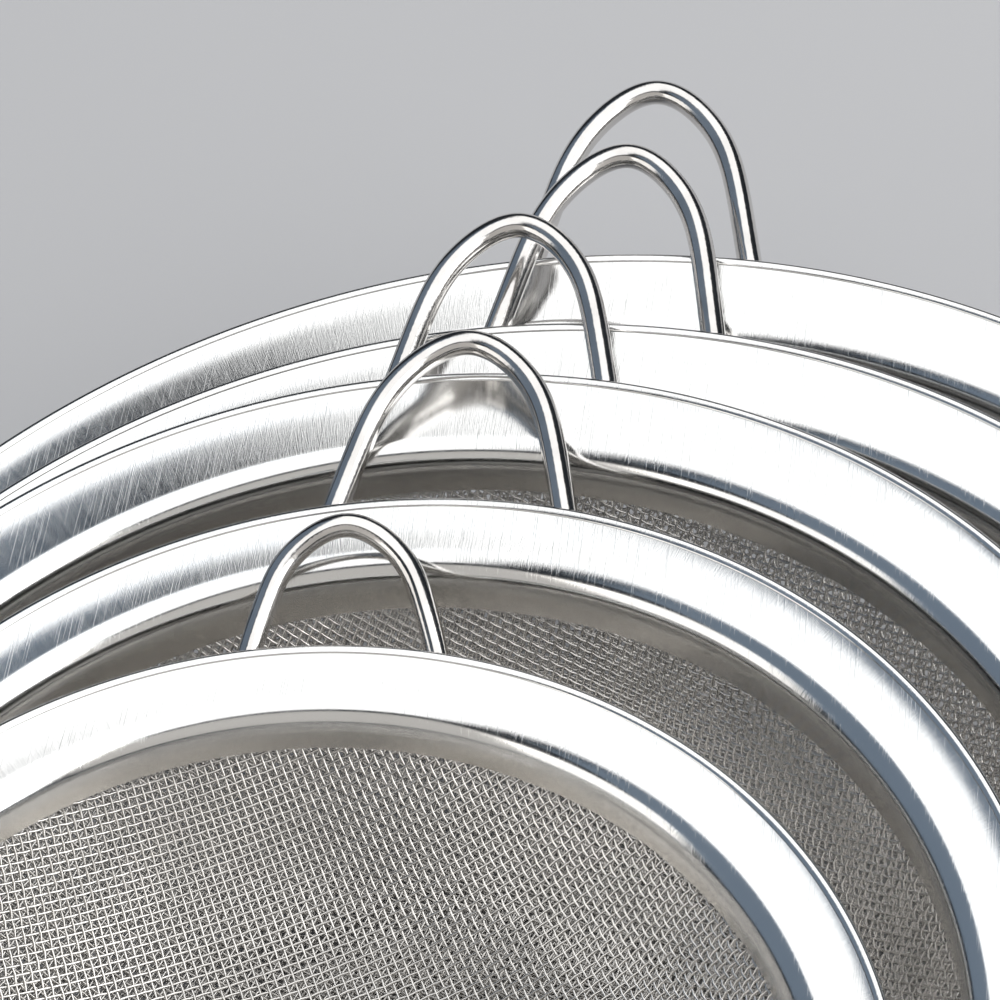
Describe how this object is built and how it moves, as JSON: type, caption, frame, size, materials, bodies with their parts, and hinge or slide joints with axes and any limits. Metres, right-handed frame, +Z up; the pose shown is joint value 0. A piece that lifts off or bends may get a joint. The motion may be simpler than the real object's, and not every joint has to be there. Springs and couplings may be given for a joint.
{
  "type": "soil sieve",
  "caption": "Nest of round wire-mesh hand sieves with wide flat rims, strap handles and wire rest loops, each lifting out of the next.",
  "frame": {"origin": "centre of the largest bowl's flat base, on the surface that the nest stands on", "axes": "+Z up out of the bowls, +Y from the handles towards the rest loops, +X to the right seen from the handles"},
  "size_m": [0.2072, 0.4018, 0.0791],
  "materials": {
    "rim_steel": "bright satin, finely brushed outwards across the rim",
    "mesh_steel": "plain drawn wire, woven",
    "ring_steel": "mill finish",
    "loop_steel": "polished round wire",
    "handle_steel": "satin, brushed lengthwise"
  },
  "bodies": {
    "sieve_5": {"rim_5": "rim_steel", "mesh_5": "mesh_steel", "clamp_ring_5": "ring_steel", "rest_loop_5": "loop_steel", "handle_5": "handle_steel"},
    "sieve_4": {"rim_4": "rim_steel", "mesh_4": "mesh_steel", "clamp_ring_4": "ring_steel", "rest_loop_4": "loop_steel", "handle_4": "handle_steel"},
    "sieve_3": {"rim_3": "rim_steel", "mesh_3": "mesh_steel", "clamp_ring_3": "ring_steel", "rest_loop_3": "loop_steel", "handle_3": "handle_steel"},
    "sieve_2": {"rim_2": "rim_steel", "mesh_2": "mesh_steel", "clamp_ring_2": "ring_steel", "rest_loop_2": "loop_steel", "handle_2": "handle_steel"},
    "sieve_1": {"rim_1": "rim_steel", "mesh_1": "mesh_steel", "clamp_ring_1": "ring_steel", "rest_loop_1": "loop_steel", "handle_1": "handle_steel"}
  },
  "joints": [
    {"name": "lift_4", "type": "slide", "parent": "sieve_5", "child": "sieve_4", "axis": [0, 0, 1], "range_m": [0, 0.055]},
    {"name": "lift_3", "type": "slide", "parent": "sieve_4", "child": "sieve_3", "axis": [0, 0, 1], "range_m": [0, 0.05]},
    {"name": "lift_2", "type": "slide", "parent": "sieve_3", "child": "sieve_2", "axis": [0, 0, 1], "range_m": [0, 0.045]},
    {"name": "lift_1", "type": "slide", "parent": "sieve_2", "child": "sieve_1", "axis": [0, 0, 1], "range_m": [0, 0.045]}
  ]
}
